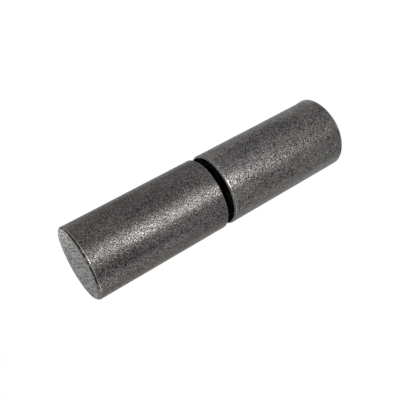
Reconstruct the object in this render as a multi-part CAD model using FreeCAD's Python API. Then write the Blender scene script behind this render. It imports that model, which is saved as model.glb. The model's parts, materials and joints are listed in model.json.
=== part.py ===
import FreeCAD, Part
import math
import os

# A weld-on barrel hinge. Two short lengths of round steel bar stand in line, one over the other.
# A pin is pressed into the lower one and runs in a blind bore in the upper one, on a loose ball.
# Sizes are in millimetres. +Z runs up the hinge axis from the middle of the lower end face.

# The round bar that both barrels are parted off from
bar_diameter = 19.0
barrel_length = 36.5
free_end_chamfer = 0.4
gap_end_chamfer = 0.35

# The open gap between the barrels, which the ball keeps
barrel_gap = 2.0

# The two drilled holes
drill_point_angle = 118.0
hole_mouth_chamfer = 0.5
steel_under_pin_hole = 12.0
steel_over_bore = 6.0

# The pin, tight in the lower barrel and free in the upper one
pin_diameter = 10.0
pin_running_clearance = 0.05
pin_floor_clearance = 0.5
pin_foot_chamfer = 0.5
pin_nose_chamfer = 0.8

# The ball that carries the upper barrel on the pin's end
ball_side_clearance = 0.3
grease_film = 0.05

FULL_TURN = 360.0
ORIGIN = FreeCAD.Vector(0, 0, 0)
UP = FreeCAD.Vector(0, 0, 1)

# Radii, from the diameters above
bar_radius = bar_diameter / 2
pin_radius = pin_diameter / 2
bore_radius = pin_radius + pin_running_clearance
ball_radius = bore_radius - ball_side_clearance
drill_half_angle = math.radians(drill_point_angle / 2)

# Heights up the hinge axis
hinge_height = 2 * barrel_length + barrel_gap
pin_hole_point_z = steel_under_pin_hole
pin_foot_z = pin_hole_point_z + pin_radius / math.tan(drill_half_angle) + pin_floor_clearance
bore_point_z = hinge_height - steel_over_bore
ball_centre_z = bore_point_z - (ball_radius + grease_film) / math.sin(drill_half_angle)
pin_nose_z = ball_centre_z - ball_radius - grease_film


def turned(outline):
    """The solid that an outline of (radius, height) points makes when it is turned about the axis."""
    points = [FreeCAD.Vector(radius, 0, height) for radius, height in outline]
    section = Part.Face(Part.makePolygon(points + points[:1]))
    return section.revolve(ORIGIN, UP, FULL_TURN)


def drilled_barrel(free_end_z, gap_end_z, hole_radius, hole_point_z):
    """A chamfered length of bar with a blind hole that is drilled in from the gap."""
    inward = 1 if gap_end_z > free_end_z else -1
    hole_floor_z = hole_point_z + inward * hole_radius / math.tan(drill_half_angle)
    return turned([
        (0, free_end_z),
        (bar_radius - free_end_chamfer, free_end_z),
        (bar_radius, free_end_z + inward * free_end_chamfer),
        (bar_radius, gap_end_z - inward * gap_end_chamfer),
        (bar_radius - gap_end_chamfer, gap_end_z),
        (hole_radius + hole_mouth_chamfer, gap_end_z),
        (hole_radius, gap_end_z - inward * hole_mouth_chamfer),
        (hole_radius, hole_floor_z),
        (0, hole_point_z),
    ])


def lower_barrel():
    """The half that is welded to the post. Its hole grips the pin."""
    return drilled_barrel(0, barrel_length, pin_radius, pin_hole_point_z)


def upper_barrel():
    """The half that is welded to the gate. Its bore turns on the pin and lifts off it."""
    gap_end_z = barrel_length + barrel_gap
    return drilled_barrel(hinge_height, gap_end_z, bore_radius, bore_point_z)


def hinge_pin():
    """The pin: its foot is chamfered to enter the tight hole, its flat nose carries the ball."""
    return turned([
        (0, pin_foot_z),
        (pin_radius - pin_foot_chamfer, pin_foot_z),
        (pin_radius, pin_foot_z + pin_foot_chamfer),
        (pin_radius, pin_nose_z - pin_nose_chamfer),
        (pin_radius - pin_nose_chamfer, pin_nose_z),
        (0, pin_nose_z),
    ])


def thrust_ball():
    """The ball, held in line by the cone that the drill leaves at the end of the bore."""
    return Part.makeSphere(ball_radius, FreeCAD.Vector(0, 0, ball_centre_z))


pieces = {
    "lower_barrel": lower_barrel,
    "hinge_pin": hinge_pin,
    "thrust_ball": thrust_ball,
    "upper_barrel": upper_barrel,
}

os.makedirs("parts", exist_ok=True)
for node, make in pieces.items():
    make().exportStep(os.path.join("parts", node + ".step"))
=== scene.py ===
"""A weld-on barrel hinge: two short lengths of rolled steel bar in line, on a pin and a ball."""

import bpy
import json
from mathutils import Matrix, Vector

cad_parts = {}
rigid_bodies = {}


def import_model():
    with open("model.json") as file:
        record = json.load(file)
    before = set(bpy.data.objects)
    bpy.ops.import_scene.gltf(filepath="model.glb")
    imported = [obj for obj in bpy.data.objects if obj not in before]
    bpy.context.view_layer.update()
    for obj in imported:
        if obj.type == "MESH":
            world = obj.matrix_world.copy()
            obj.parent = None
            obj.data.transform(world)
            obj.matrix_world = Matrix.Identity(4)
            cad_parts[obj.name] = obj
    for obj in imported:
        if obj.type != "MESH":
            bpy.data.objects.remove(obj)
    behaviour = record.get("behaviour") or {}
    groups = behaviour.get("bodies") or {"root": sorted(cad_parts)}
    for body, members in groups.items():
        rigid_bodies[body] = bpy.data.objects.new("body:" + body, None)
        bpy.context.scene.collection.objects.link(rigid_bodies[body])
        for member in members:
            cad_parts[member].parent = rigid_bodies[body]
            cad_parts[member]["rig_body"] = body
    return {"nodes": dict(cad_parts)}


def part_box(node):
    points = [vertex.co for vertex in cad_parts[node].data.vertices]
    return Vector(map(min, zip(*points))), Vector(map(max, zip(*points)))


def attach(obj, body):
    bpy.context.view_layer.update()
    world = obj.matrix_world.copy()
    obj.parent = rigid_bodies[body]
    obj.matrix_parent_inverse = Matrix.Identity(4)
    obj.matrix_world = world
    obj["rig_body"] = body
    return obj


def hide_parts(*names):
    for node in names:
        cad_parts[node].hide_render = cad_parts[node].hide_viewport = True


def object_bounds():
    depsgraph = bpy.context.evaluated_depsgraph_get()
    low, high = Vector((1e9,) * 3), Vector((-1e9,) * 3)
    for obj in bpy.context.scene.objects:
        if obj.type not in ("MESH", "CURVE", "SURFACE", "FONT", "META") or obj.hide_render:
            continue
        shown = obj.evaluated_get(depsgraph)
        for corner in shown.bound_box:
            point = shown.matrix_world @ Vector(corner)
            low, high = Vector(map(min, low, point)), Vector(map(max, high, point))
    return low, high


bl_info = {
    "name": "Weld-on Barrel Hinge",
    "version": (1, 0, 0),
    "blender": (4, 5, 0),
    "location": "View3D > Sidebar > Barrel Hinge",
    "description": "Dresses the barrels, the pin and the ball of a weld-on hinge in a white studio",
    "category": "Add Mesh",
}

import json
import math

import bpy
from bpy.props import FloatProperty, FloatVectorProperty, IntProperty, PointerProperty
from bpy.types import Operator, Panel, PropertyGroup
from mathutils import Matrix, Vector, noise

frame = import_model()
cad_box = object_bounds()

MM = 0.001
UP = Vector((0, 0, 1))
WHITE = (1, 1, 1)

# Edges flatter than this are shaded smooth
SMOOTH_ANGLE = math.radians(35)

# The finishes of a barrel, in the order of its material slots
SCALE, END, CHAMFER, EDGE, FACE, BORE = range(6)

# Each lamp's azimuth and elevation in degrees, its share of the lamp distance, and its width and
# height in millimetres. Azimuth 0 is in front of the hinge, on its -Y side.
LAMPS = {
    "key": (-4, 1, 1, 30, 90),
    "low": (-4, -12, 0.4, 45, 24),
    "left": (-90, 5, 1, 160, 100),
    "right": (60, 5, 1, 120, 100),
    "high": (5, 35, 1, 240, 40),
    "back": (168, 20, 1, 60, 60),
}


def linear(hex_colour):
    """The linear red, green and blue of an sRGB hex value."""
    parts = [int(hex_colour[i:i + 2], 16) / 255 for i in (1, 3, 5)]
    return tuple(c / 12.92 if c <= 0.04045 else ((c + 0.055) / 1.055) ** 2.4 for c in parts)


def colour(name, hex_colour, description):
    """A colour property in the add-on's sidebar."""
    return FloatVectorProperty(name=name, description=description, subtype="COLOR", size=3,
                               min=0, max=1, default=linear(hex_colour))


def length(name, millimetres, description):
    """A length property in the add-on's sidebar, kept in metres."""
    return FloatProperty(name=name, description=description, subtype="DISTANCE", unit="LENGTH",
                         precision=5, default=millimetres * MM)


def angle(name, degrees, description):
    """An angle property in the add-on's sidebar."""
    return FloatProperty(name=name, description=description, subtype="ANGLE", unit="ROTATION",
                         default=math.radians(degrees))


def power(name, watts, description):
    """A lamp's power in the add-on's sidebar."""
    return FloatProperty(name=name, description=description, unit="POWER", precision=3, min=0,
                         default=watts)


def part(name, value, description):
    """A part of a whole in the add-on's sidebar, from nought to one."""
    return FloatProperty(name=name, description=description, subtype="FACTOR", min=0, max=1,
                         default=value)


def whole(name, value, least, description):
    """A whole number in the add-on's sidebar."""
    return IntProperty(name=name, description=description, default=value, min=least)


class BarrelSizes(PropertyGroup):
    """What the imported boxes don't say about the shape of the two barrels."""
    free_end_chamfer: length("Free end chamfer", 0.47, "Chamfer on the two free ends")
    gap_end_chamfer: length("Gap end chamfer", 0.35, "Chamfer on the two ends that face each other")
    mouth_chamfer: length("Mouth chamfer", 0.5, "Chamfer at the mouth of each drilled hole")
    pin_clearance: length("Pin clearance", 0.05, "Radial gap between the pin and the bore")
    lower_solid: length("Lower solid", 12, "Solid bar below the point of the lower barrel's hole")
    upper_solid: length("Upper solid", 6, "Solid bar above the point of the upper barrel's bore")
    drill_point: angle("Drill point", 118, "Angle of the cone that the drill leaves")
    free_edge: length("Free edge", 0.085, "How far wear has rounded each edge of a free end's chamfer")
    gap_edge: length("Gap edge", 0.05, "How far wear has rounded each edge of a chamfer in the gap")
    chamfer_waver: length("Chamfer waver", 0.05, "How much the hand-held chamfers vary in width")
    waver_pace: FloatProperty(name="Waver pace", description="How fast that width changes round a rim",
                              default=1.6, min=0)
    chamfer_lean: length("Chamfer lean", 0.14, "How much wider a free end's chamfer is on one side")
    lean_way: angle("Lean way", 220, "Which side that is")
    skin_waves: length("Skin waves", 0.02, "Height of the long low waves that rolling leaves")
    long_wave: length("Long wave", 7, "Size of the longer of those waves")
    short_wave: length("Short wave", 1.7, "Size of the shorter ones, which are half as high")
    lower_burr: length("Lower burr", 0.24, "How far the lower free end's burr stands out of the bar")
    upper_burr: length("Upper burr", 0.06, "How far the upper free end's burr stands out of the bar")
    burr_reach: length("Burr reach", 3, "How far along the bar a burr reaches")
    burr_way: angle("Burr way", 0, "Which side of the bar the burrs are on")
    burr_spread: angle("Burr spread", 60, "How far round the bar a burr reaches, each way")
    mesh_step: length("Mesh step", 0.25, "Largest distance between two rings of the mesh")
    sides: whole("Sides", 240, 48, "Faces round a barrel")
    lower_seed: whole("Lower seed", 5, 0, "Which waves and wavers the lower barrel has")
    upper_seed: whole("Upper seed", 166, 0, "Which waves and wavers the upper barrel has")


class PinAndBallSizes(PropertyGroup):
    """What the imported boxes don't say about the shape of the pin and the ball."""
    foot_chamfer: length("Foot chamfer", 0.5, "Chamfer that leads the pin into its tight hole")
    nose_chamfer: length("Nose chamfer", 0.8, "Chamfer round the nose that carries the ball")
    pin_edge: length("Pin edge", 0.12, "How far each edge of the pin is rounded")
    grease_reach: length("Grease reach", 2.5, "How far up the pin the grease goes above the gap")
    pin_step: length("Pin step", 0.5, "Largest distance between two rings of the pin's mesh")
    pin_sides: whole("Pin sides", 160, 48, "Faces round the pin and the ball")


class FinishSizes(PropertyGroup):
    """The real sizes of the patterns in the steel."""
    grain: length("Grain", 0.17, "Size of the peaks and pits in the mill scale")
    facet_tilt: part("Facet tilt", 0.1, "How far the grains' facets tilt")
    pits: length("Pits", 0.5, "Size of the wider pits between them")
    pit_depth: length("Pit depth", 0.05, "Depth of those pits")
    clouds: length("Clouds", 2.8, "Width of the thin and thick places in the scale")
    streaks: FloatProperty(name="Streaks", description="How many times longer those places are",
                           default=5.5, min=1)
    lower_place: length("Lower place", 267, "Where in the clouds the lower barrel lies")
    upper_place: length("Upper place", 121, "Where in the clouds the upper barrel lies")
    tints: length("Tints", 6, "Width of the faint brown and violet places in the scale")
    lower_tint: part("Lower tint", 0.5, "Strength of the heat tints on the lower barrel")
    upper_tint: part("Upper tint", 0.9, "Strength of the heat tints on the upper barrel")
    rubbed_rim: length("Rubbed rim", 0.35, "How far from a barrel's edge the scale is rubbed")
    rim_shine: part("Rim shine", 0.15, "How bare it is rubbed there")
    lower_shine: part("Lower shine", 0.9, "How bare the lower barrel's burr is rubbed")
    upper_shine: part("Upper shine", 0.2, "How bare the upper barrel's burr is rubbed")
    stains: length("Stains", 1.6, "Size of the dull stains on the free ends")
    scratch_length: length("Scratch length", 7, "Length of the grinding scratches on the free ends")
    scratch_width: length("Scratch width", 0.3, "Width of those scratches, wider than real to show")
    scratch_depth: length("Scratch depth", 0.015, "Depth of the scratches and stains")
    scratch_way: angle("Scratch way", 83.6, "Which way those scratches lie, from the X axis")
    grime: length("Grime", 1.2, "Size of the patches of grime on the chamfers")
    # Painted sheen: past this distance towards -X the chamfers' grime is halved, so they look lighter
    # where they mirror the bright surround
    painted_sheen_from: length("Painted sheen from", 7.6, "How far towards -X the chamfers' grime is thick")
    polish: length("Polish", 0.9, "Size of the bright and dull patches on the worn edges")
    smears: length("Smears", 1.5, "Size of the smears of grease on the ball")
    patch_depth: length("Patch depth", 0.03, "Relief of grime, polish and smears")
    tool_marks: length("Tool marks", 0.22, "Spacing of the rings that a lathe tool or a drill leaves")
    tool_depth: length("Tool depth", 0.008, "Depth of those rings")
    stone_depth: length("Stone depth", 0.006, "Depth of the rings that a stone left on the pin")


class SteelColours(PropertyGroup):
    """The colours of the steel, as they look in even white light."""
    pit: colour("Pit", "#1b1a1a", "Black oxide down in the pits of the scale")
    upper_peak: colour("Upper peak", "#6c6a68", "Peaks of the scale on the upper barrel")
    lower_peak: colour("Lower peak", "#888684", "Peaks of the scale on the lower barrel")
    brown_peak: colour("Brown peak", "#787269", "Peaks with a faint brown heat tint")
    violet_peak: colour("Violet peak", "#746f73", "Peaks with a faint violet heat tint")
    scale_edge_on: colour("Scale edge on", "#ebeae9", "Tint of the scale seen nearly edge on")
    chamfer_edge_on: colour("Chamfer edge on", "#e2e0de", "Tint of the chamfers seen nearly edge on")
    worn_edge_on: colour("Worn edge on", "#a4a2a0", "Tint of the worn edges seen nearly edge on")
    stain_edge_on: colour("Stain edge on", "#cbcac9", "Tint of the stains seen at a low angle")
    bright_edge: colour("Bright edge", "#858380", "Steel polished by handling, on the very edges")
    rubbed: colour("Rubbed", "#7f7d7b", "Steel that handling has rubbed bright")
    bare_end: colour("Bare end", "#6a6968", "Ground steel of the free ends")
    stained_end: colour("Stained end", "#474645", "Stains and specks on the free ends")
    grime: colour("Grime", "#2b2928", "Oil and grime on the free ends' chamfers")
    # Partly painted shade: on the gap faces and in the bore this near-black stands for the shade of the
    # narrow gap as well as for grease
    grease_and_gap_shade: colour("Black grease", "#0b0a09", "Old grease in the gap, in the bore and on the pin")
    # Partly painted shade: darker than bare cut steel, for the gap faces and the bore
    shaded_cut_steel: colour("Cut steel", "#4a4847", "Drilled and faced steel under oil")
    pin_steel: colour("Pin steel", "#8f8d8b", "Ground steel of the pin")
    ball_steel: colour("Ball steel", "#b4b5b8", "Polished steel of the ball")


class StudioSettings(PropertyGroup):
    """The camera, the lamps and the floor. The camera's place is given from the top end's middle."""
    lens: FloatProperty(name="Lens", description="Focal length on a 36 mm sensor", default=57.76,
                        unit="CAMERA")
    tilt: angle("Tilt", 23.1, "How far the camera looks down")
    roll: angle("Roll", 119.0, "How far the camera is turned about its own view")
    top_right: length("Top right", -27.92, "How far right of the view's middle the top end is")
    top_down: length("Top down", 14.78, "How far below the view's middle the top end is")
    top_ahead: length("Top ahead", 146.78, "How far in front of the camera the top end is")
    nearest: length("Nearest", 10, "How near to the camera a thing can still be seen")
    key: power("Key", 0.39, "Power of the narrow lamp in front")
    low: power("Low", 0.085, "Power of the small lamp low in front")
    left: power("Left", 0.21, "Power of the wide lamp at the left")
    right: power("Right", 0.035, "Power of the wide lamp at the right")
    high: power("High", 0.8, "Power of the lamp high in front, which the rims' edges catch")
    back: power("Back", 0.05, "Power of the small lamp behind, which the top end face mirrors")
    lamp_distance: length("Lamp distance", 300, "How far the lamps stand from the hinge")
    floor_width: length("Floor width", 8000, "Width of the pale floor")
    floor_white: part("Floor white", 0.99, "How much light the floor's paint gives back")
    floor_glow: part("Floor glow", 0.85, "How much of the floor, as the eye sees it, is its own light")


def add(tree, kind, inputs=None, **settings):
    """Adds a node. An input that is an output socket is linked, and any other is set on the socket."""
    node = tree.nodes.new("ShaderNode" + kind)
    for key, value in settings.items():
        setattr(node, key, value)
    for key, value in (inputs or {}).items():
        if isinstance(value, bpy.types.NodeSocket):
            tree.links.new(value, node.inputs[key])
        else:
            node.inputs[key].default_value = value
    return node


def rgba(rgb):
    """A colour as the four numbers that a socket takes."""
    return (*rgb, 1)


def steel(name, roughness, edge_on):
    """A new metal material of one roughness, with a tint where it is seen nearly edge on: the
    material, its tree, its shader and the piece's coordinates."""
    material = bpy.data.materials.new(name)
    material.use_nodes = True
    tree = material.node_tree
    shader = tree.nodes["Principled BSDF"]
    shader.inputs["Metallic"].default_value = 1
    shader.inputs["Roughness"].default_value = roughness
    shader.inputs["Specular Tint"].default_value = rgba(edge_on)
    place = add(tree, "TexCoord").outputs["Object"]
    return material, tree, shader, place


def mill_scale(barrel, colours, patterns):
    """Mill scale, the black oxide that hot rolling leaves on bar, tumbled until its grains shine.
    The eye gets a dark skin of fine salt-and-pepper grains, each a tiny facet tilted its own way, in
    streaky clouds of thin and thick scale with faint brown and violet tints, and worn rims."""
    material, tree, shader, place = steel(barrel.node + "_mill_scale", roughness=0.38,
                                          edge_on=colours.scale_edge_on)
    grains = add(tree, "TexVoronoi", {"Vector": place, "Scale": 1 / patterns.grain}).outputs["Color"]
    pits = add(tree, "TexNoise", {"Vector": place, "Scale": 1 / patterns.pits, "Detail": 2,
                                  "Roughness": 0.6}).outputs["Fac"]
    start = barrel.own(patterns, "place")
    along = add(tree, "Mapping", {"Vector": place, "Location": (start, start, start),
                                  "Scale": (1, 1, 1 / patterns.streaks)}).outputs["Vector"]
    clouds = add(tree, "TexNoise", {"Vector": along, "Scale": 1 / patterns.clouds, "Detail": 3,
                                    "Roughness": 0.5}).outputs["Fac"]
    level = scale_level(tree, grains, pits, clouds)
    peak = tinted_peak(tree, along, barrel, colours, patterns)
    scaled = add(tree, "MixRGB", {"Fac": bright_share(tree, level), "Color1": rgba(colours.pit),
                                  "Color2": peak})
    axes = add(tree, "SeparateXYZ", {"Vector": place})
    rim = rubbed_rims(tree, axes.outputs["Z"], level, barrel, patterns)
    burr = rubbed_burr(tree, place, axes.outputs["Z"], clouds, barrel, patterns)
    bare = add(tree, "Math", {0: rim, 1: burr}, operation="MAXIMUM")
    skin = add(tree, "MixRGB", {"Fac": bare.outputs[0], "Color1": scaled.outputs["Color"],
                                "Color2": rgba(colours.rubbed)})
    bump = add(tree, "Bump", {"Height": pits, "Distance": patterns.pit_depth, "Strength": 1,
                              "Normal": tilted_facets(tree, grains, patterns.facet_tilt)})
    tree.links.new(skin.outputs["Color"], shader.inputs["Base Color"])
    tree.links.new(bump.outputs["Normal"], shader.inputs["Normal"])
    return material


def scale_level(tree, grains, pits, clouds):
    """The height of the scale: each grain has its own, which the pits and the clouds raise or lower."""
    grain_share, pit_share, cloud_share = 1.2, 0.2, 0.6
    level = add(tree, "Math", {0: clouds, 1: cloud_share}, operation="MULTIPLY")
    level = add(tree, "Math", {0: pits, 1: pit_share, 2: level.outputs[0]},
                operation="MULTIPLY_ADD")
    return add(tree, "Math", {0: grains, 1: grain_share, 2: level.outputs[0]},
               operation="MULTIPLY_ADD").outputs[0]


def bright_share(tree, level):
    """How much of the peaks' colour shows at a level. Most grains are dark and a few are bright."""
    rarity = 1.7
    peaks = add(tree, "MapRange", {"Value": level, "From Min": 0.5, "From Max": 1.5})
    return add(tree, "Math", {0: peaks.outputs["Result"], 1: rarity}, operation="POWER").outputs[0]


def tinted_peak(tree, along, barrel, colours, patterns):
    """The peaks' colour, with the brown and violet that heat left in places."""
    tint = barrel.own(patterns, "tint")
    tints = add(tree, "TexNoise", {"Vector": along, "Scale": 1 / patterns.tints, "Detail": 2,
                                   "Roughness": 0.5}).outputs["Fac"]
    brown = add(tree, "MapRange", {"Value": tints, "From Min": 0.52, "From Max": 0.68, "To Max": tint})
    violet = add(tree, "MapRange", {"Value": tints, "From Min": 0.48, "From Max": 0.32, "To Max": tint})
    browned = add(tree, "MixRGB", {"Fac": brown.outputs["Result"],
                                   "Color1": rgba(barrel.own(colours, "peak")),
                                   "Color2": rgba(colours.brown_peak)})
    return add(tree, "MixRGB", {"Fac": violet.outputs["Result"], "Color1": browned.outputs["Color"],
                                "Color2": rgba(colours.violet_peak)}).outputs["Color"]


def rubbed_rims(tree, height, level, barrel, patterns):
    """How bare handling has rubbed the peaks of the scale within a short way of each edge."""
    chamfer = barrel.sizes.gap_end_chamfer
    rims = []
    for end_z in (barrel.low_z, barrel.high_z):
        away = add(tree, "Math", {0: height, 1: end_z}, operation="SUBTRACT")
        away = add(tree, "Math", {0: away.outputs[0]}, operation="ABSOLUTE")
        rim = add(tree, "MapRange", {"Value": away.outputs[0], "From Max": chamfer,
                                     "From Min": chamfer + patterns.rubbed_rim})
        rims.append(rim.outputs["Result"])
    rubbed = add(tree, "Math", {0: rims[0], 1: rims[1]}, operation="MAXIMUM")
    ragged = add(tree, "Math", {0: rubbed.outputs[0], 1: level}, operation="MULTIPLY")
    return add(tree, "MapRange", {"Value": ragged.outputs[0], "From Min": 0.35, "From Max": 0.9,
                                  "To Max": patterns.rim_shine}).outputs["Result"]


def rubbed_burr(tree, place, height, clouds, barrel, patterns):
    """How bare handling has rubbed the scale on the burr, in a ragged patch."""
    sizes = barrel.sizes
    away = add(tree, "Math", {0: height, 1: barrel.free_z}, operation="SUBTRACT")
    away = add(tree, "Math", {0: away.outputs[0]}, operation="ABSOLUTE")
    near = add(tree, "MapRange", {"Value": away.outputs[0], "From Min": sizes.burr_reach,
                                  "From Max": 0})
    way = (math.cos(sizes.burr_way), math.sin(sizes.burr_way), 0)
    out = add(tree, "VectorMath", {0: place, 1: way}, operation="DOT_PRODUCT")
    rubbed_from = 0.7 * barrel.bar
    side = add(tree, "MapRange", {"Value": out.outputs["Value"], "From Min": rubbed_from,
                                  "From Max": barrel.bar})
    burr = add(tree, "Math", {0: near.outputs["Result"], 1: side.outputs["Result"]},
               operation="MULTIPLY")
    ragged = add(tree, "Math", {0: burr.outputs[0], 1: clouds}, operation="MULTIPLY")
    return add(tree, "MapRange", {"Value": ragged.outputs[0], "From Min": 0.05, "From Max": 0.25,
                                  "To Max": barrel.own(patterns, "shine")}).outputs["Result"]


def tilted_facets(tree, grains, tilt):
    """The skin's normal, tilted another way in each grain. The tilts turn with the piece."""
    lean = add(tree, "VectorMath", {0: grains, 1: (0.5, 0.5, 0.5)}, operation="SUBTRACT")
    lean = add(tree, "VectorMath", {0: lean.outputs["Vector"], "Scale": tilt}, operation="SCALE")
    lean = add(tree, "VectorTransform", {"Vector": lean.outputs["Vector"]}, vector_type="VECTOR",
               convert_from="OBJECT", convert_to="WORLD")
    upright = add(tree, "NewGeometry").outputs["Normal"]
    facet = add(tree, "VectorMath", {0: upright, 1: lean.outputs["Vector"]}, operation="ADD")
    return add(tree, "VectorMath", {0: facet.outputs["Vector"]},
               operation="NORMALIZE").outputs["Vector"]


def ground_end(name, colours, patterns):
    """Carbon steel, parted and ground flat by hand. The eye gets a bare mid grey with fine straight
    scratches all one way, dull stains and dark specks, which show best at a low angle."""
    material, tree, shader, place = steel(name, roughness=0.4, edge_on=WHITE)
    line_share, speck_share, stain_share = 1.4, 1.3, 1.3
    across = patterns.scratch_width
    stretch = patterns.scratch_length / across
    turn = (0, 0, patterns.scratch_way)
    drawn_out = add(tree, "Mapping", {"Vector": place, "Rotation": turn, "Scale": (stretch, 1, 1)},
                    vector_type="TEXTURE")
    lines = add(tree, "TexNoise", {"Vector": drawn_out.outputs["Vector"], "Scale": 1 / across,
                                   "Detail": 1, "Roughness": 0.5})
    # The specks are drawn out less than the scratches
    half_drawn = add(tree, "Mapping", {"Vector": place, "Rotation": turn,
                                       "Scale": (math.sqrt(stretch), 1, 1)}, vector_type="TEXTURE")
    specks = add(tree, "TexNoise", {"Vector": half_drawn.outputs["Vector"], "Scale": 1 / across,
                                    "Detail": 1, "Roughness": 0.7})
    stains = add(tree, "TexNoise", {"Vector": place, "Scale": 1 / patterns.stains, "Detail": 3,
                                    "Roughness": 0.6})
    mixed = add(tree, "Math", {0: stains.outputs["Fac"], 1: stain_share}, operation="MULTIPLY")
    mixed = add(tree, "Math", {0: lines.outputs["Fac"], 1: line_share, 2: mixed.outputs[0]},
                operation="MULTIPLY_ADD")
    mixed = add(tree, "Math", {0: specks.outputs["Fac"], 1: speck_share, 2: mixed.outputs[0]},
                operation="MULTIPLY_ADD")
    clean = add(tree, "MapRange", {"Value": mixed.outputs[0], "From Min": 1.8, "From Max": 2.1})
    face = add(tree, "MixRGB", {"Fac": clean.outputs["Result"], "Color1": rgba(colours.stained_end),
                                "Color2": rgba(colours.bare_end)})
    shine = add(tree, "MixRGB", {"Fac": clean.outputs["Result"],
                                 "Color1": rgba(colours.stain_edge_on), "Color2": rgba(WHITE)})
    bump = add(tree, "Bump", {"Height": mixed.outputs[0], "Distance": patterns.scratch_depth,
                              "Strength": 1})
    tree.links.new(face.outputs["Color"], shader.inputs["Base Color"])
    tree.links.new(shine.outputs["Color"], shader.inputs["Specular Tint"])
    tree.links.new(bump.outputs["Normal"], shader.inputs["Normal"])
    return material


def patchy_steel(name, clean, dirty, patch, share, roughness, edge_on, depth, sheen_past=None):
    """Cut steel in two states, such as rubbed bright and grimy. The eye gets ragged patches of the
    two colours. A share of nought is nearly all clean, and one is nearly all dirty. Past the given
    distance on the -X side half the dirt is gone. This is painted sheen: that side is lighter where it
    mirrors the bright surround."""
    material, tree, shader, place = steel(name, roughness, edge_on)
    patches = add(tree, "TexNoise", {"Vector": place, "Scale": 1 / patch, "Detail": 3,
                                     "Roughness": 0.65})
    spread, fade_from = 0.3, 0.85
    lift = spread * (1 - share)
    cover = add(tree, "MapRange", {"Value": patches.outputs["Fac"], "From Min": 0.35 + lift,
                                   "From Max": 0.55 + lift}).outputs["Result"]
    # Painted sheen: towards -X the grime is halved, so that side looks lit by the bright surround
    if sheen_past:
        side = add(tree, "SeparateXYZ", {"Vector": place}).outputs["X"]
        kept = add(tree, "MapRange", {"Value": side, "From Min": -sheen_past,
                                      "From Max": -fade_from * sheen_past, "To Min": 0.5})
        cover = add(tree, "Math", {0: cover, 1: kept.outputs["Result"]},
                    operation="MULTIPLY").outputs[0]
    mixed = add(tree, "MixRGB", {"Fac": cover, "Color1": rgba(clean), "Color2": rgba(dirty)})
    bump = add(tree, "Bump", {"Height": patches.outputs["Fac"], "Distance": depth, "Strength": 1})
    tree.links.new(mixed.outputs["Color"], shader.inputs["Base Color"])
    tree.links.new(bump.outputs["Normal"], shader.inputs["Normal"])
    return material


def greased_steel_in_gap_shade(name, colours, patterns):
    """Steel faced on a lathe or drilled, and greased, for the gap faces and the bore. The eye gets fine
    rings round the axis, nearly black where the old grease lies thick. The dark steel, the black smears
    and the black edge-on tint are partly grease and partly painted shade, which blackens the gap."""
    material, tree, shader, place = steel(name, roughness=0.45, edge_on=colours.grease_and_gap_shade)
    axes = add(tree, "SeparateXYZ", {"Vector": place})
    flat = add(tree, "CombineXYZ", {"X": axes.outputs["X"], "Y": axes.outputs["Y"]})
    radius = add(tree, "VectorMath", {0: flat.outputs["Vector"]}, operation="LENGTH")
    across = add(tree, "Math", {0: radius.outputs["Value"], 1: axes.outputs["Z"]}, operation="ADD")
    turns = add(tree, "Math", {0: across.outputs[0], 1: 2 * math.pi / patterns.tool_marks},
                operation="MULTIPLY")
    rings = add(tree, "Math", {0: turns.outputs[0]}, operation="SINE")
    smears = add(tree, "TexNoise", {"Vector": place, "Scale": 1 / patterns.clouds, "Detail": 4,
                                    "Roughness": 0.6})
    # Black smears: real grease, and painted shade in the narrow gap
    thick = add(tree, "MapRange", {"Value": smears.outputs["Fac"], "From Min": 0.62,
                                   "From Max": 0.45})
    mixed = add(tree, "MixRGB", {"Fac": thick.outputs["Result"], "Color1": rgba(colours.shaded_cut_steel),
                                 "Color2": rgba(colours.grease_and_gap_shade)})
    bump = add(tree, "Bump", {"Height": rings.outputs[0], "Distance": patterns.tool_depth,
                              "Strength": 1})
    tree.links.new(mixed.outputs["Color"], shader.inputs["Base Color"])
    tree.links.new(bump.outputs["Normal"], shader.inputs["Normal"])
    return material


def ground_pin(name, colours, patterns, grease_z, reach):
    """Hardened steel, ground round. The eye gets a bright satin with fine rings, which goes into
    black grease round the gap, with a ragged edge where the upper barrel has wiped it."""
    material, tree, shader, place = steel(name, roughness=0.28, edge_on=WHITE)
    flattening, raggedness = 30, 1.6
    rings = add(tree, "Mapping", {"Vector": place, "Scale": (1, 1, flattening)})
    lines = add(tree, "TexNoise", {"Vector": rings.outputs["Vector"], "Scale": 1 / patterns.clouds,
                                   "Detail": 3, "Roughness": 0.7})
    smears = add(tree, "TexNoise", {"Vector": place, "Scale": 1 / patterns.pits, "Detail": 4,
                                    "Roughness": 0.6})
    height = add(tree, "SeparateXYZ", {"Vector": place}).outputs["Z"]
    over = add(tree, "Math", {0: height, 1: grease_z}, operation="SUBTRACT")
    over = add(tree, "Math", {0: over.outputs[0], 1: 1 / reach}, operation="MULTIPLY")
    edge = add(tree, "Math", {0: smears.outputs["Fac"], 1: raggedness, 2: over.outputs[0]},
               operation="MULTIPLY_ADD")
    clean = add(tree, "MapRange", {"Value": edge.outputs[0], "From Min": 1.5, "From Max": 2.1})
    mixed = add(tree, "MixRGB", {"Fac": clean.outputs["Result"],
                                 "Color1": rgba(colours.grease_and_gap_shade),
                                 "Color2": rgba(colours.pin_steel)})
    bump = add(tree, "Bump", {"Height": lines.outputs["Fac"], "Distance": patterns.stone_depth,
                              "Strength": 1})
    tree.links.new(mixed.outputs["Color"], shader.inputs["Base Color"])
    tree.links.new(bump.outputs["Normal"], shader.inputs["Normal"])
    return material


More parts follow.
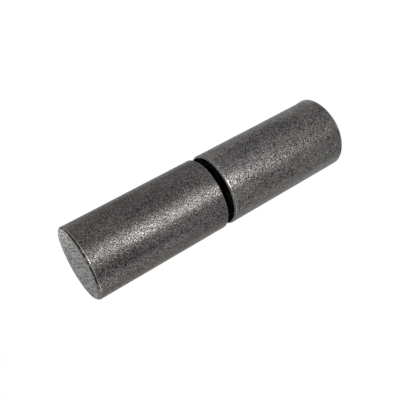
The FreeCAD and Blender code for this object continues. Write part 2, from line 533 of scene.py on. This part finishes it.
def rounded(outline, arc_parts=3):
    """An outline with each worn corner turned into a small arc. A corner is (radius, height, worn
    length, finish of the stretch after it), and a point that comes back is (radius and height, that
    finish)."""
    points = []
    for i, (radius, height, worn, finish) in enumerate(outline):
        here = Vector((radius, height))
        if not worn:
            points.append((here, finish))
            continue
        start = here + (Vector(outline[i - 1][:2]) - here).normalized() * worn
        end = here + (Vector(outline[i + 1][:2]) - here).normalized() * worn
        for k in range(arc_parts + 1):
            t = k / arc_parts
            point = start * (1 - t) ** 2 + here * 2 * t * (1 - t) + end * t ** 2
            points.append((point, EDGE if k < arc_parts else finish))
    return points


def turned_mesh(name, outline_at, sides, step, inward, relief=None):
    """A closed mesh turned about the hinge axis. outline_at(turn) gives the outline at each angle,
    which starts and ends on the axis, and runs up it, or down it where inward is -1.
    relief(point, turn) says how far the skin stands out of the outline."""
    first = outline_at(0)
    parts = [max(1, math.ceil((b[0] - a[0]).length / step)) for a, b in zip(first, first[1:])]
    ring_finish = [first[i][1] for i, count in enumerate(parts) for _ in range(count)]
    rings = sum(parts) - 1
    vertices = [UP * first[0][0].y]
    for k in range(sides):
        turn = 2 * math.pi * k / sides
        out = Vector((math.cos(turn), math.sin(turn), 0))
        points = [point for point, _ in outline_at(turn)]
        column = [a.lerp(b, i / count)
                  for a, b, count in zip(points, points[1:], parts) for i in range(count)]
        for radius, height in column[1:]:
            place = out * radius + UP * height
            vertices.append(place + out * relief(place, turn) if relief else place)
    vertices.append(UP * first[-1][0].y)
    faces, slots = [], []
    for k in range(sides):
        a, b = 1 + k * rings, 1 + (k + 1) % sides * rings
        faces.append((0, b, a))
        faces += [(a + i, b + i, b + i + 1, a + i + 1) for i in range(rings - 1)]
        faces.append((a + rings - 1, b + rings - 1, len(vertices) - 1))
        slots += ring_finish
    mesh = bpy.data.meshes.new(name)
    mesh.from_pydata(vertices, [], faces)
    mesh.polygons.foreach_set("material_index", slots)
    if inward < 0:
        mesh.flip_normals()
    mesh.validate()
    mesh.update()
    return mesh


def place_piece(mesh, materials, node):
    """Puts a mesh in the scene as a piece that stands for a CAD node and moves with its body."""
    for material in materials:
        mesh.materials.append(material)
    piece = bpy.data.objects.new(mesh.name, mesh)
    bpy.context.scene.collection.objects.link(piece)
    mesh.shade_smooth()
    mesh.set_sharp_from_angle(angle=SMOOTH_ANGLE)
    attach(piece, frame["nodes"][node]["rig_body"])
    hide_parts(node)
    return piece


class Barrel:
    """One barrel: where it stands, its outline at each angle and the relief of its skin. Inward is
    the way from its free end to the gap, up or down the axis."""

    def __init__(self, which, inward, hole, sizes):
        self.which, self.inward, self.hole, self.sizes = which, inward, hole, sizes
        node = which + "_barrel"
        low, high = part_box(node)
        self.node = node
        self.low_z, self.high_z, self.bar = low.z, high.z, high.x
        self.long = high.z - low.z
        self.free_z = low.z if inward > 0 else high.z
        seed = self.own(sizes, "seed")
        self.drift = Vector((seed, seed, seed))

    def own(self, group, what):
        """This barrel's own one of a pair of properties, such as lower_burr and upper_burr."""
        return getattr(group, f"{self.which}_{what}")

    def waver(self, turn, end):
        """How much wider or narrower the chamfer at one end is, at one angle."""
        way = Vector((math.cos(turn), math.sin(turn), end)) * self.sizes.waver_pace + self.drift
        # The noise mostly stays within half of one, so twice it reaches the full waver
        return 2 * noise.noise(way) * self.sizes.chamfer_waver

    def outline(self, turn):
        """The corners from the middle of the free end, over the skin and into the hole."""
        sizes, bar, hole = self.sizes, self.bar, self.hole
        lean = sizes.chamfer_lean * math.cos(turn - sizes.lean_way)
        free = sizes.free_end_chamfer + lean + self.waver(turn, 0)
        gap = sizes.gap_end_chamfer + self.waver(turn, 1)
        cone = hole / math.tan(sizes.drill_point / 2)
        solid, mouth = self.own(sizes, "solid"), sizes.mouth_chamfer
        corners = [
            (0, 0, 0, END),
            (bar - free, 0, sizes.free_edge, CHAMFER),
            (bar, free, sizes.free_edge, SCALE),
            (bar, self.long - gap, sizes.gap_edge, SCALE),
            (bar - gap, self.long, sizes.gap_edge, FACE),
            (hole + mouth, self.long, 0, FACE),
            (hole, self.long - mouth, 0, BORE),
            (hole, solid + cone, 0, BORE),
            (0, solid, 0, BORE),
        ]
        return rounded([(radius, self.free_z + self.inward * height, worn, finish)
                        for radius, height, worn, finish in corners])

    def relief(self, point, turn):
        """Long low waves all over the skin, and the burr at the free end."""
        sizes, well_inside = self.sizes, 0.9 * self.bar
        if Vector((point.x, point.y)).length < well_inside:
            return 0
        waves = noise.noise(point / sizes.long_wave + self.drift)
        waves += 0.5 * noise.noise(point / sizes.short_wave + self.drift)
        return waves * sizes.skin_waves + self.burr(point, turn)

    def burr(self, point, turn):
        """How far the burr stands out, which fades along the bar and round it."""
        sizes = self.sizes
        along = abs(point.z - self.free_z) / sizes.burr_reach
        off = (turn - sizes.burr_way + math.pi) % (2 * math.pi) - math.pi
        across = abs(off) / sizes.burr_spread
        if along >= 1 or across >= 1:
            return 0
        fading = 1.5
        return self.own(sizes, "burr") * (1 - along) ** fading * (1 - across ** 2) ** fading


class HINGE_OT_barrels(Operator):
    """Makes the two barrels, with their chamfers, worn edges, burrs and drilled holes"""
    bl_idname = "hinge.barrels"
    bl_label = "Make the barrels"

    def execute(self, context):
        sizes, colours = context.scene.barrel_sizes, context.scene.steel_colours
        patterns = context.scene.finish_sizes
        end = ground_end("ground_bare_steel_end", colours, patterns)
        # The chamfers' grime thins towards -X as painted sheen
        chamfer = patchy_steel("grimy_hand_ground_chamfer", colours.rubbed, colours.grime,
                               patterns.grime, share=1.1, roughness=0.42,
                               edge_on=colours.chamfer_edge_on, depth=patterns.patch_depth,
                               sheen_past=patterns.painted_sheen_from)
        edge = patchy_steel("rubbed_bright_steel_edge", colours.bright_edge, colours.pit,
                            patterns.polish, share=0.4, roughness=0.3,
                            edge_on=colours.worn_edge_on, depth=patterns.patch_depth)
        # The gap faces and the bore are darkened with painted shade as well as grease
        face = greased_steel_in_gap_shade("greased_faced_steel", colours, patterns)
        bore = greased_steel_in_gap_shade("greased_drilled_steel", colours, patterns)
        pin_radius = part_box("hinge_pin")[1].x
        for barrel in (Barrel("lower", inward=1, hole=pin_radius, sizes=sizes),
                       Barrel("upper", inward=-1, hole=pin_radius + sizes.pin_clearance, sizes=sizes)):
            mesh = turned_mesh(barrel.node + "_steel", barrel.outline, sizes.sides, sizes.mesh_step,
                               barrel.inward, barrel.relief)
            scale = mill_scale(barrel, colours, patterns)
            place_piece(mesh, [scale, end, chamfer, edge, face, bore], barrel.node)
        return {"FINISHED"}


class HINGE_OT_pin(Operator):
    """Makes the ground pin, pressed into the lower barrel and greased where it shows in the gap"""
    bl_idname = "hinge.pin"
    bl_label = "Make the pin"

    def execute(self, context):
        sizes, colours = context.scene.pin_and_ball_sizes, context.scene.steel_colours
        low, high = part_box("hinge_pin")
        radius, edge, foot, nose = high.x, sizes.pin_edge, sizes.foot_chamfer, sizes.nose_chamfer
        outline = rounded([
            (0, low.z, 0, 0),
            (radius - foot, low.z, edge, 0),
            (radius, low.z + foot, edge, 0),
            (radius, high.z - nose, edge, 0),
            (radius - nose, high.z, edge, 0),
            (0, high.z, 0, 0),
        ])
        outline = [(point, 0) for point, _ in outline]
        mesh = turned_mesh("hinge_pin_steel", lambda turn: outline, sizes.pin_sides, sizes.pin_step,
                           inward=1)
        gap_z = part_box("upper_barrel")[0].z
        material = ground_pin("ground_pin_steel", colours, context.scene.finish_sizes, gap_z,
                              sizes.grease_reach)
        place_piece(mesh, [material], "hinge_pin")
        return {"FINISHED"}


class HINGE_OT_ball(Operator):
    """Makes the polished ball that carries the upper barrel"""
    bl_idname = "hinge.ball"
    bl_label = "Make the ball"

    def execute(self, context):
        sizes, colours = context.scene.pin_and_ball_sizes, context.scene.steel_colours
        patterns = context.scene.finish_sizes
        low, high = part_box("thrust_ball")
        middle, radius = (low.z + high.z) / 2, (high.z - low.z) / 2
        rings = sizes.pin_sides // 2
        outline = []
        for i in range(rings + 1):
            rise = math.pi * i / rings
            outline.append((Vector((radius * math.sin(rise), middle - radius * math.cos(rise))), 0))
        mesh = turned_mesh("thrust_ball_steel", lambda turn: outline, sizes.pin_sides, radius, inward=1)
        material = patchy_steel("greased_polished_ball", colours.ball_steel, colours.grease_and_gap_shade,
                                patterns.smears, share=0.35, roughness=0.12, edge_on=WHITE,
                                depth=patterns.patch_depth)
        place_piece(mesh, [material], "thrust_ball")
        return {"FINISHED"}


def seen_by_eye_or_mirror(tree):
    """One where a ray comes from the camera, a glossy bounce or a transmission, else nought."""
    path = add(tree, "LightPath")
    both = add(tree, "Math", {0: path.outputs["Is Camera Ray"], 1: path.outputs["Is Glossy Ray"]},
               operation="MAXIMUM")
    return add(tree, "Math", {0: both.outputs[0], 1: path.outputs["Is Transmission Ray"]},
               operation="MAXIMUM").outputs[0]


def white_world(scene):
    """A plain white surround."""
    world = bpy.data.worlds.new("white_studio")
    world.use_nodes = True
    scene.world = world
    tree = world.node_tree
    tree.nodes.clear()
    white = add(tree, "Background", {"Color": rgba(WHITE), "Strength": 1})
    add(tree, "OutputWorld", {"Surface": white.outputs[0]})


def pale_floor(scene, studio):
    """A wide pale floor under the hinge, part lit by itself so that it looks white, which keeps a
    shadow."""
    half = studio.floor_width / 2
    corners = [(-half, -half, 0), (half, -half, 0), (half, half, 0), (-half, half, 0)]
    mesh = bpy.data.meshes.new("floor")
    mesh.from_pydata(corners, [], [(0, 1, 2, 3)])
    floor = bpy.data.objects.new("floor", mesh)
    scene.collection.objects.link(floor)
    material = bpy.data.materials.new("pale_painted_board")
    material.use_nodes = True
    tree = material.node_tree
    tree.nodes.clear()
    paint = studio.floor_white
    board = add(tree, "BsdfDiffuse", {"Color": (paint, paint, paint, 1)})
    white = add(tree, "Emission", {"Color": rgba(WHITE), "Strength": 1})
    share = add(tree, "Math", {0: seen_by_eye_or_mirror(tree), 1: studio.floor_glow},
                operation="MULTIPLY")
    mixed = add(tree, "MixShader", {"Fac": share.outputs[0], 1: board.outputs[0],
                                    2: white.outputs[0]})
    add(tree, "OutputMaterial", {"Surface": mixed.outputs[0]})
    mesh.materials.append(material)


def set_camera(scene, studio):
    """The camera, rolled so that the hinge's top end is at the lower left of the picture."""
    ahead = Vector((0, math.cos(studio.tilt), -math.sin(studio.tilt)))
    level_right = Vector((1, 0, 0))
    level_down = ahead.cross(level_right)
    right = level_right * math.cos(studio.roll) + level_down * math.sin(studio.roll)
    down = level_down * math.cos(studio.roll) - level_right * math.sin(studio.roll)
    place = UP * cad_box[1].z - right * studio.top_right - down * studio.top_down
    place -= ahead * studio.top_ahead
    data = bpy.data.cameras.new("camera")
    data.lens = studio.lens
    data.clip_start = studio.nearest
    camera = bpy.data.objects.new("camera", data)
    scene.collection.objects.link(camera)
    turned = Matrix((right, -down, -ahead)).transposed().to_4x4()
    camera.matrix_world = Matrix.Translation(place) @ turned
    scene.camera = camera


def soft_lamp(scene, name, studio):
    """A rectangular soft lamp that faces the middle of the hinge."""
    azimuth, elevation, share, width, height = LAMPS[name]
    data = bpy.data.lights.new(name + "_lamp", "AREA")
    data.shape = "RECTANGLE"
    data.size, data.size_y = width * MM, height * MM
    data.energy = getattr(studio, name)
    lamp = bpy.data.objects.new(name + "_lamp", data)
    scene.collection.objects.link(lamp)
    azimuth, elevation = math.radians(azimuth), math.radians(elevation)
    out = Vector((math.sin(azimuth), -math.cos(azimuth), 0)) * math.cos(elevation)
    out += UP * math.sin(elevation)
    lamp.location = (cad_box[0] + cad_box[1]) / 2 + out * share * studio.lamp_distance
    lamp.rotation_euler = out.to_track_quat("Z", "Y").to_euler()
    lamp.visible_camera = False


class HINGE_OT_stage(Operator):
    """Sets the white floor, the world, the lamps and the camera"""
    bl_idname = "hinge.stage"
    bl_label = "Set the studio"

    def execute(self, context):
        scene, studio = context.scene, context.scene.studio
        white_world(scene)
        pale_floor(scene, studio)
        set_camera(scene, studio)
        for name in LAMPS:
            soft_lamp(scene, name, studio)
        scene.view_settings.view_transform = "Standard"
        return {"FINISHED"}


class HINGE_PT_panel(Panel):
    """The hinge's sizes, colours and studio"""
    bl_idname = "HINGE_PT_panel"
    bl_label = "Barrel Hinge"
    bl_space_type = "VIEW_3D"
    bl_region_type = "UI"
    bl_category = "Barrel Hinge"

    def draw(self, context):
        for operator in OPERATORS:
            self.layout.operator(operator.bl_idname)
        for name in GROUPS:
            box = self.layout.box()
            group = getattr(context.scene, name)
            for key in group.__annotations__:
                box.prop(group, key)


OPERATORS = (HINGE_OT_barrels, HINGE_OT_pin, HINGE_OT_ball, HINGE_OT_stage)
GROUPS = {
    "barrel_sizes": BarrelSizes,
    "pin_and_ball_sizes": PinAndBallSizes,
    "finish_sizes": FinishSizes,
    "steel_colours": SteelColours,
    "studio": StudioSettings,
}
CLASSES = (*GROUPS.values(), *OPERATORS, HINGE_PT_panel)


def register():
    for cls in CLASSES:
        bpy.utils.register_class(cls)
    for name, group in GROUPS.items():
        setattr(bpy.types.Scene, name, PointerProperty(type=group))


def unregister():
    for name in GROUPS:
        delattr(bpy.types.Scene, name)
    for cls in reversed(CLASSES):
        bpy.utils.unregister_class(cls)


def main():
    """Makes the whole hinge and its studio."""
    register()
    bpy.ops.hinge.barrels()
    bpy.ops.hinge.pin()
    bpy.ops.hinge.ball()
    bpy.ops.hinge.stage()


if __name__ == "__main__":
    main()
